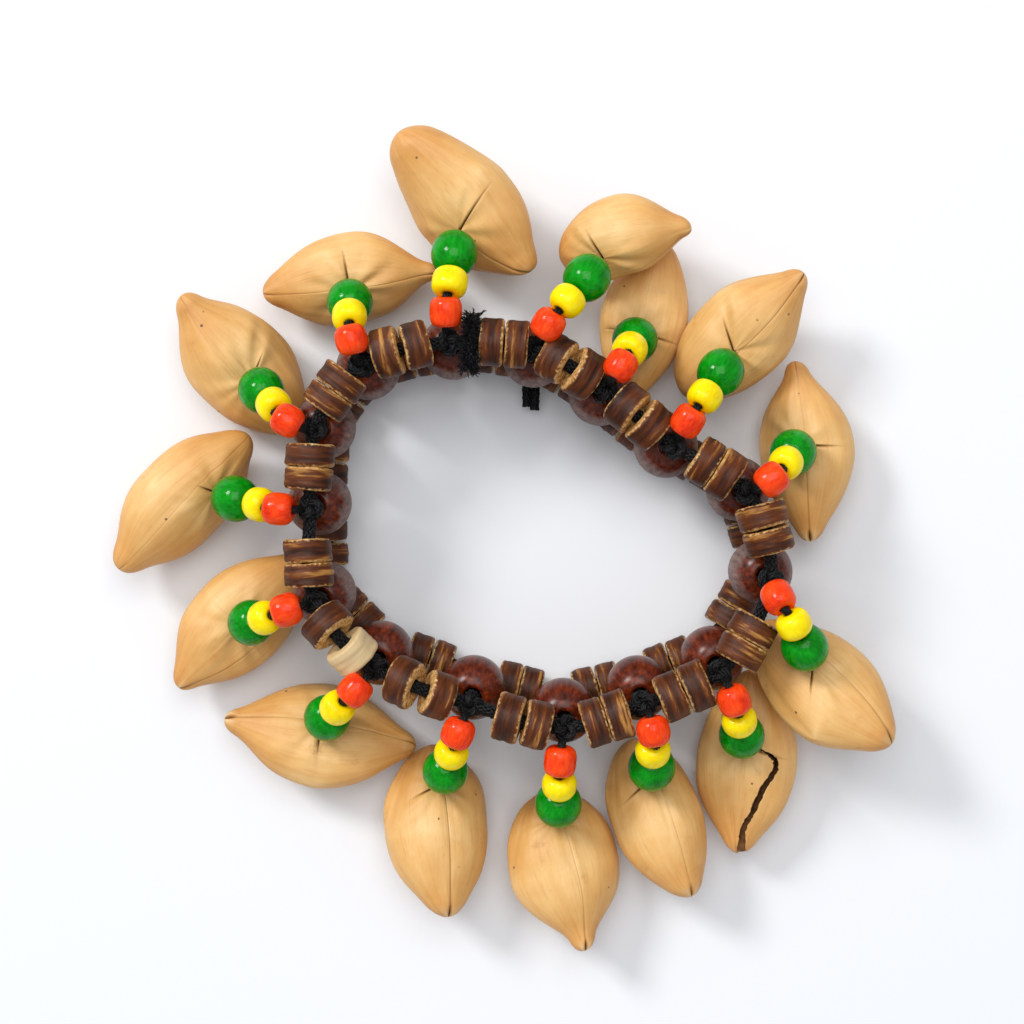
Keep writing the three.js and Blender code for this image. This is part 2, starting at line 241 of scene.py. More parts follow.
def new_geometry_tree(name, inputs):
    """An empty geometry node tree with named inputs, and its input sockets."""
    tree = bpy.data.node_groups.new(name, "GeometryNodeTree")
    tree.is_modifier = True
    tree.interface.new_socket("Geometry", in_out="INPUT", socket_type="NodeSocketGeometry")
    for label, kind in inputs:
        tree.interface.new_socket(label, in_out="INPUT", socket_type=kind)
    tree.interface.new_socket("Geometry", in_out="OUTPUT", socket_type="NodeSocketGeometry")
    return tree, add_node(tree, "NodeGroupInput").outputs


def end_tree(tree, geometry, material):
    """Ends a geometry tree in Realize Instances and Set Material."""
    real = add_node(tree, "GeometryNodeRealizeInstances", {"Geometry": geometry})
    smooth = add_node(tree, "GeometryNodeSetShadeSmooth", {"Geometry": real})
    painted = add_node(tree, "GeometryNodeSetMaterial", {"Geometry": smooth, "Material": material})
    add_node(tree, "NodeGroupOutput", {"Geometry": painted})


def applied(piece):
    """A piece's mesh with its modifiers applied."""
    graph = bpy.context.evaluated_depsgraph_get()
    return bpy.data.meshes.new_from_object(piece.evaluated_get(graph))


def run_tree(name, mesh, tree, values):
    """Runs a geometry tree, with sizes in millimetres, on a mesh: a plain mesh object."""
    maker = put(name + "_maker", mesh)
    modifier = maker.modifiers.new("tree", "NODES")
    modifier.node_group = tree
    for item in tree.interface.items_tree:
        if item.in_out == "INPUT" and item.name in values:
            value = values[item.name]
            modifier[item.identifier] = value * millimetre if isinstance(value, float) else value
    result = applied(maker)
    bpy.data.objects.remove(maker)
    result.name = name
    return put(name, result)


# A braid: yarns wound both ways round the route, each over and under those that cross it, on a core.
tree, braid_in = new_geometry_tree("braided_cord", (
    ("Diameter", "NodeSocketFloat"), ("Yarns each way", "NodeSocketInt"),
    ("Lay", "NodeSocketFloat"), ("Step", "NodeSocketFloat"), ("Material", "NodeSocketMaterial"),
))
braid_route = add_node(tree, "GeometryNodeMeshToCurve", {"Mesh": braid_in["Geometry"]})
braid_even = add_node(tree, "GeometryNodeResampleCurve", {
    "Curve": braid_route, "Length": braid_in["Step"],
}, mode="LENGTH")
braid_yarns = add_node(tree, "GeometryNodeDuplicateElements", {
    "Geometry": braid_even,
    "Amount": times(braid_in["Yarns each way"], 2.0),
}, domain="SPLINE")
yarn_index = braid_yarns.outputs["Duplicate Index"]
yarn_hand = times(calc("MODULO", yarn_index, 2.0), -2.0)
yarn_hand = plus(yarn_hand, 1.0)
yarn_length = add_node(tree, "GeometryNodeSplineParameter").outputs["Length"]
yarn_turns = calc("DIVIDE", yarn_length, braid_in["Lay"])
yarn_start = calc("FLOOR", calc("DIVIDE", yarn_index, 2.0))
yarn_start = calc("DIVIDE", yarn_start, braid_in["Yarns each way"])
yarn_angle = plus(yarn_start, times(yarn_hand, yarn_turns))
yarn_angle = times(yarn_angle, 2 * math.pi)
yarn_weave = times(yarn_turns, braid_in["Yarns each way"])
yarn_weave = calc("COSINE", times(yarn_weave, 2 * math.pi))
yarn_rise = times(times(yarn_weave, yarn_hand), yarn_wave)
yarn_reach = times(braid_in["Diameter"], plus(yarn_rise, yarn_middle))
braid_normal = add_node(tree, "GeometryNodeInputNormal")
braid_tangent = add_node(tree, "GeometryNodeInputTangent")
braid_side = vector_calc("CROSS_PRODUCT", braid_tangent, braid_normal)
yarn_cosine = times(calc("COSINE", yarn_angle), yarn_reach)
yarn_sine = times(calc("SINE", yarn_angle), yarn_reach)
yarn_offset = vector_calc(
    "ADD",
    vector_calc("SCALE", braid_normal, scale=yarn_cosine),
    vector_calc("SCALE", braid_side, scale=yarn_sine),
)
yarn_moved = add_node(tree, "GeometryNodeSetPosition", {"Geometry": braid_yarns, "Offset": yarn_offset})
braid_join = add_node(tree, "GeometryNodeJoinGeometry")
for braid_line, braid_share, braid_sides in (
    (yarn_moved, yarn_share, 5),
    (braid_even, core_share, 10),
):
    braid_ring = add_node(tree, "GeometryNodeCurvePrimitiveCircle", {
        "Resolution": braid_sides, "Radius": times(braid_in["Diameter"], braid_share),
    })
    braid_sweep = add_node(tree, "GeometryNodeCurveToMesh", {
        "Curve": braid_line, "Profile Curve": braid_ring, "Fill Caps": True,
    })
    feed(braid_join.inputs["Geometry"], braid_sweep)
end_tree(tree, braid_join, braid_in["Material"])
braid_tree = tree


def braided(name, routes, diameter, yarns, lay, step):
    """A piece of braided cord along one or more routes."""
    points, edges = [], []
    for route in routes:
        edges += [(len(points) + k, len(points) + k + 1) for k in range(len(route) - 1)]
        points += [np.array(p) * millimetre for p in route]
    return run_tree(name, new_mesh(name + "_route", points, edges), braid_tree, {
        "Diameter": diameter, "Yarns each way": yarns, "Lay": lay, "Step": step, "Material": black_braid,
    })


def noise_field(vector, scale, detail=3.0, roughness=0.5, seed=None):
    """A noise texture's factor on a vector."""
    made = add_node(vector.id_data, "ShaderNodeTexNoise", {
        "Vector": vector, "Scale": scale, "Detail": detail, "Roughness": roughness,
    }, noise_dimensions="3D" if seed is None else "4D")
    if seed is not None:
        feed(made.inputs["W"], seed)
    return made.outputs["Fac"]


def ramp(factor, stops):
    """A colour that runs through stops as a factor goes from 0 to 1."""
    made = add_node(factor.id_data, "ShaderNodeValToRGB", {"Fac": factor})
    band = made.color_ramp.elements
    while len(band) < len(stops):
        band.new(0.5)
    for element, (place, colour) in zip(band, stops):
        element.position = place
        element.color = colour
    return made.outputs["Color"]


def blend(factor, first, second, mode="MIX"):
    """Two colours mixed by a factor."""
    made = add_node(first.id_data, "ShaderNodeMix", {
        0: factor, 6: first, 7: second,
    }, data_type="RGBA", blend_type=mode)
    return made.outputs[2]


def between(value, low, high):
    """A smooth step from 0 to 1 as a value goes from low to high."""
    made = add_node(value.id_data, "ShaderNodeMapRange", {
        "Value": value, "From Min": low, "From Max": high,
    }, interpolation_type="SMOOTHSTEP")
    return made.outputs["Result"]


def bumped(shader, height, strength, depth):
    """Bump on a shader from a height field, with its depth in millimetres."""
    made = add_node(shader.id_data, "ShaderNodeBump", {
        "Strength": strength, "Distance": depth * millimetre, "Height": height,
    })
    feed(shader.inputs["Normal"], made.outputs["Normal"])


def object_place(tree):
    """The place of a point on its piece."""
    return add_node(tree, "ShaderNodeTexCoord").outputs["Object"]


def attribute(tree, name, output="Vector"):
    """A named attribute of the piece."""
    made = add_node(tree, "ShaderNodeAttribute", attribute_name=name)
    return made.outputs[output]


black_braid, tree, shader = new_finish("black_braid", 0.5, 0.25)
fibre = noise_field(object_place(tree), 1800.0, 4.0)
feed(shader.inputs["Base Color"], ramp(fibre, ((0.30, paint(3, 3, 4)), (0.72, paint(18, 18, 20)))))
bumped(shader, fibre, 0.4, 0.05)

pair_places = [0.52, 0.48, 0.51, 0.56, 0.5, 0.5, 0.54, 0.52, 0.5, 0.39, 0.56, 0.48, 0.52, 0.5, 0.37]
upper_stops, lower_stops = [], []
for rung in range(rung_count):
    upper_stops += [upper_point(rung, knot_dip), upper_point(rung + pair_places[rung])]
    lower_stops += [lower_point(rung), lower_point(rung + 0.5)]
upper_loop = smooth_route(upper_stops + upper_stops[:1])
lower_loop = smooth_route(lower_stops + lower_stops[:1])
upper_elastic = braided("upper_elastic", [upper_loop], elastic_diameter, 8, elastic_lay, elastic_step)
lower_elastic = braided("lower_elastic", [lower_loop], elastic_diameter, 8, elastic_lay, elastic_step)
for piece in (upper_elastic, lower_elastic):
    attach(piece, "band")


# The shell discs. Thirty in each row, cut and bored from coconut shell, so each has a dark polished rim
# with pale layers in it and dry, rough faces. They are strung in pairs between the rungs and lean where
# the cord sags.
disc_thickness = 3.6
disc_bore = 3.0
disc_edge, disc_wear = 0.55, 0.55
pale_disc, lower_disc_less, lower_disc_swell = 9, 0.11, 1.05
pair_gaps = [0.9, 0.3, 0.3, 0.4, 1.7, 3.0, 0.9, 0.4, 0.8, 0.6, 0.4, 0.4, 0.5, 0.3, 0.3]
pair_leans = [6, 0, 0, 0, 16, 16, 4, 0, 0, 0, 3, 0, 10, 16, 2]
lower_pair_gap = 0.4
tree, disc_in = new_geometry_tree("shell_disc_row", (
    ("Diameter", "NodeSocketFloat"), ("Thickness", "NodeSocketFloat"), ("Bore", "NodeSocketFloat"),
    ("Edge", "NodeSocketFloat"), ("Roughness", "NodeSocketFloat"), ("Material", "NodeSocketMaterial"),
))
disc_middle = times(plus(disc_in["Diameter"], disc_in["Bore"]), 0.25)
disc_path = add_node(tree, "GeometryNodeCurvePrimitiveCircle", {"Resolution": 44, "Radius": disc_middle})
disc_wall = times(calc("SUBTRACT", disc_in["Diameter"], disc_in["Bore"]), 0.5)
disc_section = add_node(tree, "GeometryNodeCurvePrimitiveQuadrilateral", {
    "Width": disc_wall, "Height": disc_in["Thickness"],
})
disc_round = add_node(tree, "GeometryNodeFilletCurve", {
    "Curve": disc_section, "Radius": disc_in["Edge"], "Count": 3,
}, mode="POLY")
disc_even = add_node(tree, "GeometryNodeResampleCurve", {"Curve": disc_round, "Count": 56}, mode="COUNT")
disc_sweep = add_node(tree, "GeometryNodeCurveToMesh", {"Curve": disc_path, "Profile Curve": disc_even})
disc_position = add_node(tree, "GeometryNodeInputPosition")
disc_marked = add_node(tree, "GeometryNodeStoreNamedAttribute", {
    "Geometry": disc_sweep, "Name": "disc_place", "Value": disc_position,
}, data_type="FLOAT_VECTOR", domain="POINT")
disc_turn = named(tree, "turn")
disc_rotation = add_node(tree, "FunctionNodeEulerToRotation", {"Euler": disc_turn})
disc_share = named(tree, "disc_share")
disc_instances = add_node(tree, "GeometryNodeInstanceOnPoints", {
    "Points": disc_in["Geometry"], "Scale": disc_share,
    "Instance": disc_marked, "Rotation": disc_rotation,
})
disc_real = add_node(tree, "GeometryNodeRealizeInstances", {"Geometry": disc_instances})
disc_tone = named(tree, "disc_tone", "FLOAT")
disc_seed = times(disc_tone, 90.0)
disc_here = named(tree, "disc_place")
disc_waves = noise_field(disc_here, 330.0, 1.0, 0.5, disc_seed)
disc_grit = noise_field(disc_here, 1500.0, 3.0, 0.6, disc_seed)
disc_worn = plus(disc_waves, -0.55)
disc_grit = plus(disc_grit, -0.5)
disc_worn = plus(disc_worn, times(disc_grit, 0.28))
disc_flat = vector_calc("MULTIPLY", disc_here, (0.1, 0.1, 1.0))
disc_layers = noise_field(disc_flat, 1000.0, 2.0, 0.5, disc_seed)
disc_layers = plus(disc_layers, -0.5)
disc_worn = plus(disc_worn, times(disc_layers, 0.9))
disc_worn = times(disc_worn, disc_in["Roughness"])
disc_normal = add_node(tree, "GeometryNodeInputNormal")
disc_moved = add_node(tree, "GeometryNodeSetPosition", {
    "Geometry": disc_real,
    "Offset": vector_calc("SCALE", disc_normal, scale=disc_worn),
})
end_tree(tree, disc_moved, disc_in["Material"])
disc_tree = tree

coconut_shell, tree, shader = new_finish("coconut_shell", 0.4, 0.25)
place = attribute(tree, "disc_place")
tone = attribute(tree, "disc_tone", "Fac")
shift = times(tone, 90.0)
split = add_node(tree, "ShaderNodeSeparateXYZ", {0: place})
across = calc("DIVIDE", split.outputs["Z"], disc_thickness / 2 * millimetre)
reach = vector_calc("MULTIPLY", place, (1.0, 1.0, 0.0))
measure = add_node(tree, "ShaderNodeVectorMath", {0: reach}, operation="LENGTH")
rim = disc_diameter / 2
on_rim = between(measure.outputs["Value"], (rim - 0.55) * millimetre, (rim - 0.2) * millimetre)
layers = vector_calc("MULTIPLY", place, (0.1, 0.1, 1.0))
stripe = noise_field(layers, 1000.0, 4.0, 0.6, shift)
rim_colour = ramp(stripe, (
    (0.30, paint(24, 8, 2)), (0.44, paint(64, 27, 5)), (0.58, paint(100, 48, 10)),
    (0.69, paint(188, 134, 64)), (0.77, paint(120, 66, 18)),
))
grit = noise_field(place, 1700.0, 5.0, 0.65, shift)
face_colour = ramp(grit, (
    (0.30, paint(100, 56, 20)), (0.46, paint(186, 132, 66)), (0.64, paint(232, 198, 140)),
))
ragged = times(plus(grit, -0.5), 0.5)
edge = between(plus(calc("ABSOLUTE", across), ragged), 0.80, 0.98)
whole = blend(on_rim, face_colour, rim_colour)
whole = blend(times(edge, 0.85), whole, face_colour)
pale = between(tone, 0.93, 0.95)
whole = blend(times(pale, 0.85), whole, paint(216, 188, 140))
feed(shader.inputs["Base Color"], whole)
feed(shader.inputs["Roughness"], plus(times(on_rim, -0.27), 0.75))
bumped(shader, plus(stripe, times(grit, 0.7)), 0.7, 0.16)


def mark(mesh, label, values):
    """Gives each point of a mesh its number or vector, under a label."""
    values = np.array(values, np.float32)
    kind, field = ("FLOAT", "value") if values.ndim == 1 else ("FLOAT_VECTOR", "vector")
    mesh.attributes.new(label, kind, "POINT").data.foreach_set(field, values.ravel())


def row_of_discs(name, stations, tones, shares):
    """One row of discs from their centres and axes, with a tone and shares of the full size for each."""
    mesh = new_mesh(name + "_places", [at * millimetre for at, _ in stations])
    mark(mesh, "turn", [Vector(axis).to_track_quat("Z", "Y").to_euler() for _, axis in stations])
    mark(mesh, "disc_tone", tones)
    mark(mesh, "disc_share", shares)
    return run_tree(name, mesh, disc_tree, {
        "Diameter": disc_diameter, "Thickness": disc_thickness, "Bore": disc_bore, "Edge": disc_edge,
        "Roughness": disc_wear, "Material": coconut_shell,
    })


def unit(vector):
    """A vector at length one."""
    return vector / np.linalg.norm(vector)


def pair_of_discs(start, end, middle, gap, lean):
    """Centres and axes of two discs on the cord between two knots."""
    along = unit((end - start) * np.array([1, 1, 0]))
    pitch = (disc_thickness + gap) / 2
    rise = np.array([0.0, 0.0, math.tan(math.radians(lean))])
    return [(middle - along * pitch, along + rise), (middle + along * pitch, along - rise)]


upper_stations, lower_stations, disc_swells = [], [], []
for rung in range(rung_count):
    start, end = upper_point(rung, knot_dip), upper_point(rung + 1, knot_dip)
    middle = upper_point(rung + pair_places[rung])
    opening = min(pair_gaps[rung] + disc_diameter / 2 * math.sin(math.radians(pair_leans[rung])), 2.4)
    upper_stations += pair_of_discs(start, end, middle, opening, pair_leans[rung])
    disc_swells += [min(1.2, (disc_thickness + opening - 0.15) / disc_thickness)] * 2
    start, end = lower_point(rung), lower_point(rung + 1)
    lower_stations += pair_of_discs(start, end, lower_point(rung + 0.5), lower_pair_gap, 0)
cut = np.random.default_rng(11)
disc_count = len(upper_stations)
upper_tones, lower_tones = cut.uniform(0.0, 0.9, (2, disc_count))
upper_tones[pale_disc] = 0.97
upper_wide, lower_wide = cut.uniform(0.94, 1.0, (2, disc_count))
upper_shares = np.column_stack([upper_wide, upper_wide, disc_swells])
lower_wide = lower_wide - lower_disc_less
lower_shares = np.column_stack([lower_wide, lower_wide, np.full(disc_count, lower_disc_swell)])
upper_discs = row_of_discs("upper_shell_discs", upper_stations, upper_tones, upper_shares)
lower_discs = row_of_discs("lower_shell_discs", lower_stations, lower_tones, lower_shares)
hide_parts("upper_disc_row")
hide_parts("lower_disc_row")
for piece in (upper_discs, lower_discs):
    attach(piece, "band")


# The round beads. Fifteen balls of dark wood, bored upright, stand between the rows on the rung cords.
# They are red-brown and glossier round the holes and greyer round their sides, except on rungs 6 to
# 10, which are red-brown and glossy nearly all over.
rung_cord_diameter = 2.2
round_bead_bore = rung_cord_diameter + 1.0
round_bead_length = round_bead_diameter * 0.97
polished_rungs, polished_rung_share, grey_rung_share = range(5, 10), 0.97, 0.1


def grid_faces(rows, columns, closed):
    """Faces between rows of points, each row a ring, where the last row may join the first."""
    faces = []
    for j in range(rows if closed else rows - 1):
        near, far = j * columns, (j + 1) % rows * columns
        for k in range(columns):
            step = (k + 1) % columns
            faces.append((near + k, far + k, far + step, near + step))
    return faces


def turned_bead(name, at, axis, diameter, length, bore, squareness, tone, material):
    """A bead turned about its axis: a rounded outside and a straight bore."""
    radius, half, hole = diameter / 2, length / 2, bore / 2
    steps, segments = 22, 56
    profile = []
    for k in range(steps + 1):
        angle = math.pi * (k / steps - 0.5)
        wide = abs(math.cos(angle)) ** (2 / squareness)
        high = math.copysign(abs(math.sin(angle)) ** (2 / squareness), angle)
        profile.append((hole + (radius - hole) * wide, half * high))
    profile += [(hole, half * share) for share in (0.5, 0.0, -0.5)]
    turn = Vector(axis).to_track_quat("Z", "Y").to_matrix()
    points, places = [], []
    for k in range(segments):
        angle = 2 * math.pi * k / segments
        for wide, high in profile:
            local = Vector((wide * math.cos(angle), wide * math.sin(angle), high))
            places.append(local)
            points.append((turn @ local + Vector(at)) * millimetre)
    mesh = new_mesh(name, points, faces=grid_faces(segments, len(profile), True))
    mesh.shade_smooth()
    mark(mesh, "turned_place", places)
    mark(mesh, "turned_tone", np.full(len(places), tone))
    mesh.materials.append(material)
    return put(name, mesh)


dark_wood, tree, shader = new_finish("dark_wood", 0.5, 0.3)
place = attribute(tree, "turned_place")
shift = times(attribute(tree, "turned_tone", "Fac"), 60.0)
split = add_node(tree, "ShaderNodeSeparateXYZ", {0: place})
height = calc("ABSOLUTE", calc("DIVIDE", split.outputs["Z"], round_bead_diameter / 2))
grain = noise_field(vector_calc("MULTIPLY", place, (1.0, 1.0, 0.18)), 1.4, 5.0, 0.6, shift)
mottle = noise_field(place, 0.55, 4.0, 0.6, shift)
polished = ramp(grain, ((0.32, paint(44, 12, 3)), (0.55, paint(100, 34, 9)), (0.75, paint(146, 62, 24))))
grey_sides = ramp(grain, ((0.30, paint(92, 70, 66)), (0.52, paint(128, 104, 98)), (0.75, paint(156, 132, 124))))
uneven = times(plus(mottle, -0.5), 0.7)
# Red-brown and glossier towards the holes, grey towards the sides, with an uneven edge between them.
polished_share = between(plus(height, uneven), 0.42, 0.86)
polished_share = calc("MAXIMUM", polished_share, attribute(tree, "least_polished_share", "Fac"))
feed(shader.inputs["Base Color"], blend(polished_share, grey_sides, polished))
feed(shader.inputs["Roughness"], plus(times(polished_share, -0.3), 0.56))
bumped(shader, grain, 0.3, 0.08)

for rung in range(rung_count):
    top, foot = upper_point(rung, knot_dip), lower_point(rung)
    bead = turned_bead(
        f"round_wood_bead_{rung + 1:02d}", (top + foot) / 2, top - foot, round_bead_diameter,
        round_bead_length, round_bead_bore, 2.0, (rung * 0.37) % 1.0, dark_wood,
    )
    # Rungs 6 to 10 are red-brown nearly all over; the other rungs keep grey sides.
    least_polished = polished_rung_share if rung in polished_rungs else grey_rung_share
    mark(bead.data, "least_polished_share", np.full(len(bead.data.vertices), least_polished))
    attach(bead, "band")
    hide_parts(f"round_bead_{rung + 1:02d}")


# The rung cords and their knots. Each rung is a short black cord through a round bead, tied over both
# elastics, and the upper knot also ties on the dangle's cord.
knot_cord_diameter = 1.5
knot_points = 72
upper_knot_size, upper_knot_lift, lower_knot_size = 1.75, 0.35, 1.3


def overhand(at, size, turn):
    """The route of a small closed knot round a point."""
    route = []
    spin = Matrix.Rotation(turn, 3, "Z") @ Matrix.Rotation(0.5, 3, "X")
    for k in range(knot_points + 1):
        angle = 2 * math.pi * k / knot_points
        reach = 0.62 + 0.38 * math.cos(3 * angle)
        local = Vector((reach * math.cos(2 * angle), reach * math.sin(2 * angle), 0.42 * math.sin(3 * angle)))
        route.append(np.array(spin @ (local * size)) + at)
    return route


rung_routes, knot_routes = [], []
for rung in range(rung_count):
    top, foot = upper_point(rung, knot_dip), lower_point(rung)
    rung_routes.append(smooth_route([top, (top + foot) / 2, foot]))
    knot_routes.append(overhand(top + np.array([0, 0, upper_knot_lift]), upper_knot_size, rung * 1.3))
    knot_routes.append(overhand(foot, lower_knot_size, rung * 0.9))
rung_cords = braided("rung_cords", rung_routes, rung_cord_diameter, 6, 10.0, 0.4)
rung_tie_knots = braided("rung_tie_knots", knot_routes, knot_cord_diameter, 5, 7.0, 0.3)
for piece in (rung_cords, rung_tie_knots):
    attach(piece, "band")


# The ends of the elastics. The upper one's knot is cut short and has frayed into a fuzzy tuft that lies
# across the row; the lower one's two ends stand out inward from its knot.
tuft_diameter, tuft_length, tuft_from_knot = 2.0, 9.5, 3.5
tuft_fibres, tuft_yarn = 760, 0.17
cut_end_rungs, cut_end_diameter, cut_end_length = (13.95, 14.1), 1.6, 4.0
clearance = 0.3
knot = upper_point(0, knot_dip)
way = upper_point(-1, knot_dip) - knot
way *= tuft_from_knot / np.linalg.norm(way)
tuft_middle = knot + way + np.array([0, 0, (elastic_diameter + tuft_diameter) / 2 + clearance + knot_dip])
tuft_way = unit(np.cross([0, 0, 1], way))
chance = np.random.default_rng(5)
fray_routes = []
for k in range(tuft_fibres):
    share = chance.uniform(-0.5, 0.5)
    root = tuft_middle + tuft_way * share * tuft_length
    angle = chance.uniform(0, 2 * math.pi)
    side = np.cross(tuft_way, [0, 0, 1])
    out = side * math.cos(angle) + np.array([0, 0, 1]) * math.sin(angle)
    reach = tuft_diameter * chance.uniform(0.5, 0.95)
    lean = tuft_way * chance.uniform(-0.9, 0.9)
    first = root + out * reach * 0.3
    second = root + out * reach * 0.75 + lean * 0.4
    third = root + out * reach + lean + chance.normal(0, 0.4, 3)
    fray_routes.append((first, second, third))
tree, fray_in = new_geometry_tree("frayed_yarn", (
    ("Yarn", "NodeSocketFloat"), ("Material", "NodeSocketMaterial"),
))
fray_curve = add_node(tree, "GeometryNodeMeshToCurve", {"Mesh": fray_in["Geometry"]})
fray_ring = add_node(tree, "GeometryNodeCurvePrimitiveCircle", {
    "Resolution": 4, "Radius": times(fray_in["Yarn"], 0.5),
})
fray_sweep = add_node(tree, "GeometryNodeCurveToMesh", {
    "Curve": fray_curve, "Profile Curve": fray_ring, "Fill Caps": True,
})
end_tree(tree, fray_sweep, fray_in["Material"])
fray_tree = tree
fray_points = [p * millimetre for route in fray_routes for p in route]
fray_edges = [(3 * k + j, 3 * k + j + 1) for k in range(len(fray_routes)) for j in (0, 1)]
fray_mesh = new_mesh("fray_routes", fray_points, fray_edges)
fray_sizes = {"Yarn": tuft_yarn, "Material": black_braid}
tuft_fuzz = run_tree("tuft_fuzz", fray_mesh, fray_tree, fray_sizes)
tuft_half = tuft_way * tuft_length * 0.46
tuft_line = smooth_route([tuft_middle - tuft_half, tuft_middle, tuft_middle + tuft_half])
tuft_core = braided("tuft_core", [tuft_line], tuft_diameter * 0.9, 6, 8.0, 0.4)
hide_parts("elastic_tuft")
cut_routes = []
for rung in cut_end_rungs:
    start = lower_point(rung)
    inward = unit(-start * np.array([1, 1, 0]))
    cut_routes.append(smooth_route([start, start + inward * (disc_diameter / 2 + cut_end_length)]))
cut_ends = braided("elastic_cut_ends", cut_routes, cut_end_diameter, 6, 8.0, 0.3)
for piece in (tuft_fuzz, tuft_core, cut_ends):
    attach(piece, "band")


# The dangle strands. A thin black cord leaves each knot, passes through a red, a yellow and a green
# wooden bead and goes down into the pod. The beads are dyed and lacquered.
# Each way has the heading and rise to the red bead, then the heading and the falls past red and yellow.
strand_ways = [
    (97, 30, 83, 12, 38), (110, 42, 97, 36, 64), (166, 38, 134, 42, 55), (182, 25, 168, 46, 44),
    (193, 34, 200, 36, 62), (230, 30, 225, 32, 62), (245, 26, 252, 42, 55), (261, 15, 269, 34, 54),
    (289, 36, 272, 46, 59), (294, 26, 288, 42, 61), (285, 60, 300, -6, 45), (31, 42, 45, 40, 66),
    (62, 36, 55, 9, 39), (56, 36, 60, 49, 69), (60, 36, 51, 6, 36),
]
strand_cord_diameter = 1.4
knot_diameter, lead_cord = 3.8, 0.9
red_diameter, red_length = 5.6, 5.0
yellow_diameter, yellow_length = 6.0, 4.5
green_diameter = 8.0
bead_gap = 0.3
stopper_depth = 3.9
bead_bore = strand_cord_diameter + 0.3
green_length_share, green_square = 0.96, 2.05
leave_share, dive_lean = 0.48, 0.15


def direction(heading, pitch):
    """A unit direction from a plan heading and an upward pitch."""
    flat = math.cos(math.radians(pitch))
    turn = math.radians(heading)
    return np.array([math.cos(turn) * flat, math.sin(turn) * flat, math.sin(math.radians(pitch))])


def lacquer(name, dark, middle, light, roughness, streak):
    """Dyed and lacquered wood: fine grain along the bead, a little darker in the pores."""
    material, tree, shader = new_finish(name, roughness, 0.2)
    place = attribute(tree, "turned_place")
    shift = times(attribute(tree, "turned_tone", "Fac"), 60.0)
    along = vector_calc("MULTIPLY", place, (1.0, 1.0, streak))
    grain = noise_field(along, 2.2, 6.0, 0.62, shift)
    cloud = noise_field(place, 0.45, 2.0, 0.5, shift)
    mixed = plus(times(grain, 0.55), times(cloud, 0.45))
    feed(shader.inputs["Base Color"], ramp(mixed, ((0.34, dark), (0.5, middle), (0.66, light))))
    bumped(shader, grain, 0.12, 0.04)
    return material


reds = paint(206, 38, 8), paint(238, 62, 14), paint(246, 84, 26)
yellows = paint(238, 200, 0), paint(250, 222, 2), paint(255, 234, 20)
greens = paint(0, 96, 8), paint(3, 130, 14), paint(10, 156, 24)
red_lacquer = lacquer("red_lacquer", *reds, 0.16, 0.4)
yellow_lacquer = lacquer("yellow_lacquer", *yellows, 0.16, 0.4)
green_lacquer = lacquer("green_lacquer", *greens, 0.14, 0.2)

strand_spots = []
turning = np.random.default_rng(8)
for rung, (lead, rise, heading, fall, drop) in enumerate(strand_ways):
    red_share, yellow_share, green_share = turning.uniform(0.95, 1.0, 3)
    red_square, yellow_square = turning.uniform(2.3, 3.1, 2)
    number = f"{rung + 1:02d}"
    lead_way = direction(lead, rise)
    mid_way, last_way = direction(heading, -fall), direction(heading, -drop)
    red_axis, yellow_axis = unit(lead_way + mid_way), unit(mid_way + last_way)
    knot = upper_point(rung, knot_dip)
    red = knot + lead_way * (knot_diameter / 2 + clearance + lead_cord + red_length / 2)
    yellow = red + mid_way * ((red_length + yellow_length) / 2 + bead_gap)
    green = yellow + last_way * ((yellow_length + green_diameter) / 2 + bead_gap)
    leave = green + last_way * green_diameter * leave_share
    dive = unit(np.array([0, 0, -1]) + dive_lean * last_way)
    strand_spots.append((last_way, green, leave, dive))
    tone = (rung * 0.61) % 1.0
    green_length = green_diameter * green_length_share
    beads = []
    for colour, at, axis, diameter, length, square, finish in (
        ("red", red, red_axis, red_diameter * red_share, red_length, red_square, red_lacquer),
        ("yellow", yellow, yellow_axis, yellow_diameter * yellow_share, yellow_length, yellow_square,
         yellow_lacquer),
        ("green", green, last_way, green_diameter * green_share, green_length, green_square, green_lacquer),
    ):
        name = f"{colour}_bead_{number}"
        beads.append(turned_bead(name, at, axis, diameter, length, bead_bore, square, tone, finish))
    foot = knot + lead_way * (knot_diameter / 2 - 0.6)
    red_half, yellow_half = red_axis * red_length / 2, yellow_axis * yellow_length / 2
    route = smooth_route([
        foot, red - red_half, red, red + red_half, yellow - yellow_half, yellow, yellow + yellow_half,
        green, leave, leave + dive * stopper_depth,
    ], 0.4)
    strand_cord = braided(f"strand_cord_{number}", [route], strand_cord_diameter, 6, 6.0, 0.3)
    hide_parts(f"bead_strand_{number}")
    body = f"strand_{number}"
    for piece in (strand_cord, *beads):
        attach(piece, body)


# The seed pods. Woody stones, each drilled in one side for the cord. A fold runs across from the
# hole, a seam runs along to a tip that starts to split, and one pod has cracked open. They are dry, tan
# and finely streaked. A middling pod is given by its length, width and depth.
middling_pod = np.array([30.0, 18.0, 14.0])
pod_tip_radius = 1.4
pod_bow = 1.6
pod_gap = 0.5
hole_diameter, hole_sink = 1.8, 1.2
table_gap = 0.05
pod_square = 1.92
fold_width, fold_depth, fold_run = 0.15, 0.7, 0.42
seam_width, seam_depth, split_depth = 0.11, 0.18, 1.4
